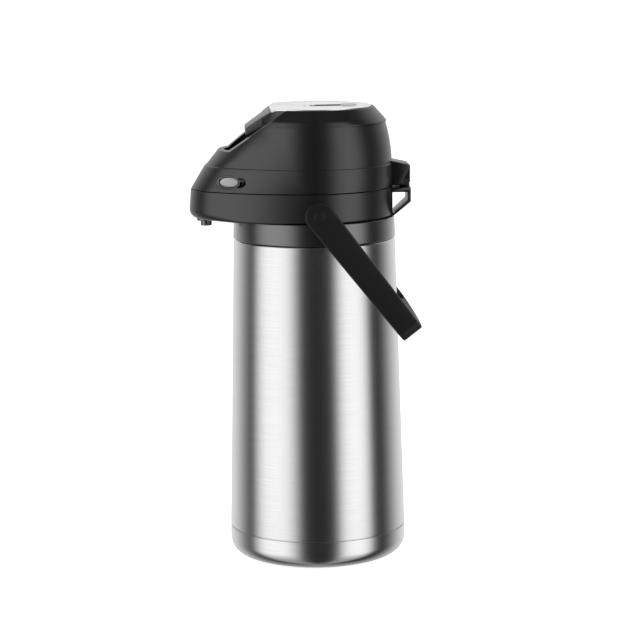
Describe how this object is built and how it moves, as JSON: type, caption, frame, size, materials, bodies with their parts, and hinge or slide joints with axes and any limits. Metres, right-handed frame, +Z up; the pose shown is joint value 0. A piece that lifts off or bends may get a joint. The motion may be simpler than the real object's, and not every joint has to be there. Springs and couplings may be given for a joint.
{
  "type": "thermal coffee airpot",
  "caption": "Vacuum-walled coffee airpot: tapered steel body, black teardrop head with spout, hinged lid with pump lever and lock, side buttons and a swinging bail handle.",
  "frame": {"origin": "centre of the foot pad's underside, on the body's axis", "axes": "+Z up along the body's axis, spout towards -Y, lid hinge towards +Y"},
  "size_m": [0.1606, 0.2019, 0.4019],
  "materials": {
    "brushed_steel": "fine horizontal brushing, satin",
    "plate_steel": "finely brushed, bright",
    "inner_steel": "drawn steel, semi-bright",
    "black_plastic": "fine matt texture",
    "bail_plastic": "smooth satin",
    "gloss_black": "polished",
    "button_grey": "satin",
    "grey_plastic": "food grade, plain",
    "clear_plastic": "translucent natural",
    "silicone": "soft, matt",
    "rubber": "soft, matt",
    "hardware": "bright plated"
  },
  "bodies": {
    "root": {"outer_shell": "brushed_steel", "base_cup": "brushed_steel", "foot_pad": "rubber", "vacuum_bottom": "inner_steel", "inner_flask": "inner_steel", "collar": "black_plastic", "head_base": "black_plastic", "neck_nut": "grey_plastic", "neck_gasket": "silicone", "stopper": "grey_plastic", "outlet_bush": "silicone", "siphon_tube": "clear_plastic", "tube_foot": "grey_plastic", "spout_pipe": "clear_plastic", "nozzle": "gloss_black", "nozzle_seal": "silicone", "head_deck": "black_plastic", "deck_posts": "black_plastic", "deck_screws": "hardware", "latch_catches": "black_plastic", "hinge_bracket": "black_plastic", "bail_screws": "gloss_black", "bail_washers": "black_plastic"},
    "lever": {"pump_lever": "black_plastic", "lever_plate": "plate_steel"},
    "pressure": {"pressure_disc": "grey_plastic"},
    "lock": {"lock_slider": "black_plastic"},
    "press_right": {"button_right": "button_grey"},
    "press_left": {"button_left": "button_grey"},
    "bail": {"bail_handle": "bail_plastic"},
    "lid": {"lid_shell": "black_plastic", "lid_cap": "black_plastic", "front_panel": "black_plastic", "finger_well": "black_plastic", "pump_plate": "black_plastic", "lid_gasket": "silicone", "lid_screws": "hardware", "air_valve": "rubber", "bellows": "rubber", "return_spring": "hardware", "lever_bracket": "black_plastic", "lever_pin": "hardware", "button_springs": "hardware", "button_guides": "black_plastic", "hinge_pin": "hardware"}
  },
  "joints": [
    {"name": "lid_hinge", "type": "hinge", "parent": "root", "child": "lid", "pos_m": [0, 0.0801, 0.3347], "axis": [-1, 0, 0], "range_deg": [0, 95]},
    {"name": "lever_press", "type": "hinge", "parent": "lid", "child": "lever", "pos_m": [0, 0.042, 0.388], "axis": [1, 0, 0], "range_deg": [0, 12.5], "stiffness_Nm_per_rad": 1, "springref_deg": -20.05},
    {"name": "bellows_press", "type": "slide", "parent": "lid", "child": "pressure", "axis": [0, 0, -1], "range_m": [0, 0.0092], "deforming": ["bellows", "return_spring"]},
    {"name": "lock_slide", "type": "slide", "parent": "lever", "child": "lock", "axis": [0, -1, 0], "range_m": [0, 0.025]},
    {"name": "button_right_press", "type": "slide", "parent": "lid", "child": "press_right", "axis": [-0.9272, 0.3746, 0], "range_m": [0, 0.003], "stiffness_N_per_m": 300, "springref_m": -0.002},
    {"name": "button_left_press", "type": "slide", "parent": "lid", "child": "press_left", "axis": [0.9272, 0.3746, 0], "range_m": [0, 0.003], "stiffness_N_per_m": 300, "springref_m": -0.002},
    {"name": "bail_swing", "type": "hinge", "parent": "root", "child": "bail", "pos_m": [0, 0.001, 0.3123], "axis": [1, 0, 0], "range_deg": [0, 282.5]}
  ],
  "couplings": [
    {"joint": "bellows_press", "follows": "lever_press", "m_per_rad": 0.042}
  ]
}
